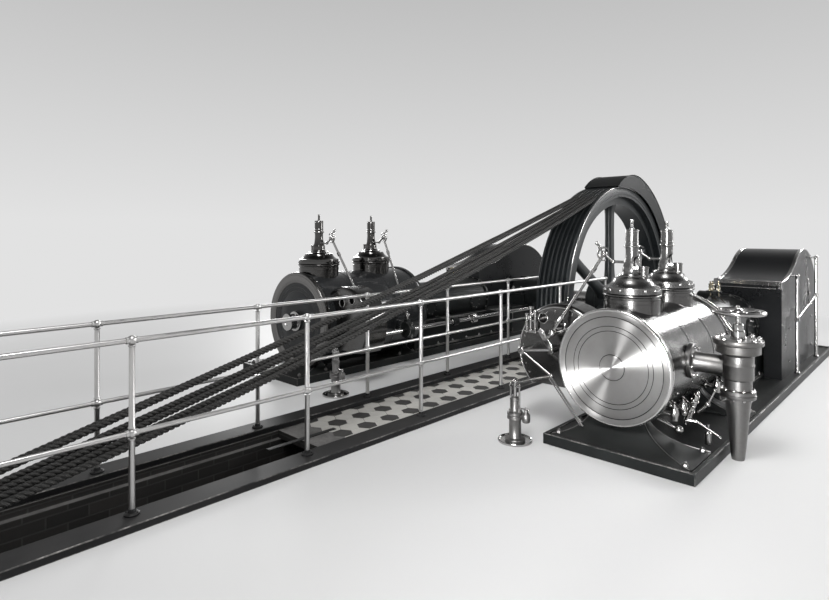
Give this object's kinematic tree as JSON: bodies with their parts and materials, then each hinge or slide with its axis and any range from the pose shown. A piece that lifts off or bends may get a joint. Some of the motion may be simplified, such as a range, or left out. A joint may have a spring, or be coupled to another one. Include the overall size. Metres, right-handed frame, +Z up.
{
  "type": "horizontal cross-compound steam engine",
  "caption": "Horizontal cross-compound drop-valve steam engine with a rope flywheel, rope race, guard railings and its foundation.",
  "frame": {"origin": "underside of the foundation, below the middle of the flywheel and the crankshaft", "axes": "+X along the crankshaft towards the high-pressure engine, +Y along the engine axes from the cylinders to the crankshaft, +Z up"},
  "size_m": [5.085, 11.8, 3.7699],
  "materials": {
    "masonry": "pale cement-faced masonry",
    "kerb_iron": "dark painted iron, worn satin",
    "rail_steel": "polished tube",
    "bed_paint": "dark engine enamel, satin",
    "gear_case_paint": "mid-grey enamel, satin",
    "wheel_paint": "dark enamel over cast iron",
    "black_sheet": "black gloss enamel",
    "polished_lagging": "polished planished sheet",
    "dark_lagging": "dark grey enamel, gloss",
    "polished_steel": "turned and polished",
    "valve_steel": "dull bright steel",
    "brass": "polished brass",
    "rope": "tarred cotton driving rope"
  },
  "bodies": {
    "engine": {"foundation": "masonry", "race_kerb_near": "kerb_iron", "race_kerb_far": "kerb_iron", "race_cover": "kerb_iron", "railing_near": "rail_steel", "railing_far": "rail_steel", "bed_plate_near": "bed_paint", "cylinder_foot_near": "bed_paint", "cylinder_near": "polished_lagging", "cover_near": "polished_steel", "bonnets_near": "polished_steel", "bed_frame_near": "bed_paint", "guide_near": "bed_paint", "main_bearing_near": "bed_paint", "crank_hood_near": "black_sheet", "side_shaft_bearings_near": "bed_paint", "valve_gear_case_near": "gear_case_paint", "valve_rods_near": "polished_steel", "lubricator_near": "brass", "bed_plate_far": "bed_paint", "cylinder_foot_far": "bed_paint", "cylinder_far": "dark_lagging", "cover_far": "dark_lagging", "bonnets_far": "polished_steel", "bed_frame_far": "bed_paint", "guide_far": "bed_paint", "main_bearing_far": "bed_paint", "crank_hood_far": "black_sheet", "side_shaft_bearings_far": "bed_paint", "valve_gear_case_far": "gear_case_paint", "valve_rods_far": "polished_steel", "lubricator_far": "brass", "stop_valve": "valve_steel", "drain_cocks": "brass", "hood_rail": "rail_steel", "pump_stand_near": "polished_steel", "pump_stand_far": "polished_steel", "tail_gland": "dark_lagging", "wheel_guard": "black_sheet", "ropes": "rope", "sheave_bearings": "bed_paint"},
    "wheel": {"flywheel": "wheel_paint", "crankshaft": "polished_steel"},
    "sheave": {"driven_sheave": "wheel_paint"},
    "side_shaft_near_body": {"side_shaft_near": "polished_steel"},
    "side_shaft_far_body": {"side_shaft_far": "polished_steel"},
    "stop_valve_wheel": {"handwheel": "polished_steel"}
  },
  "joints": [
    {"name": "flywheel_spin", "type": "hinge", "parent": "engine", "child": "wheel", "pos_m": [0, 0, 1.9], "axis": [1, 0, 0], "continuous": true},
    {"name": "sheave_spin", "type": "hinge", "parent": "engine", "child": "sheave", "pos_m": [0, -8.85, 0.76], "axis": [1, 0, 0], "continuous": true},
    {"name": "side_shaft_near_spin", "type": "hinge", "parent": "engine", "child": "side_shaft_near_body", "pos_m": [1.3, -2, 1.74], "axis": [0, 1, 0], "continuous": true},
    {"name": "side_shaft_far_spin", "type": "hinge", "parent": "engine", "child": "side_shaft_far_body", "pos_m": [-1.06, -2, 1.74], "axis": [0, 1, 0], "continuous": true},
    {"name": "stop_valve_turn", "type": "hinge", "parent": "engine", "child": "stop_valve_wheel", "pos_m": [2.54, -3.5, 2.3], "axis": [0, 0, 1], "range_deg": [0, 1080]}
  ],
  "couplings": [
    {"joint": "sheave_spin", "follows": "flywheel_spin", "ratio": 3.6},
    {"joint": "side_shaft_near_spin", "follows": "flywheel_spin", "ratio": 1},
    {"joint": "side_shaft_far_spin", "follows": "flywheel_spin", "ratio": -1}
  ]
}
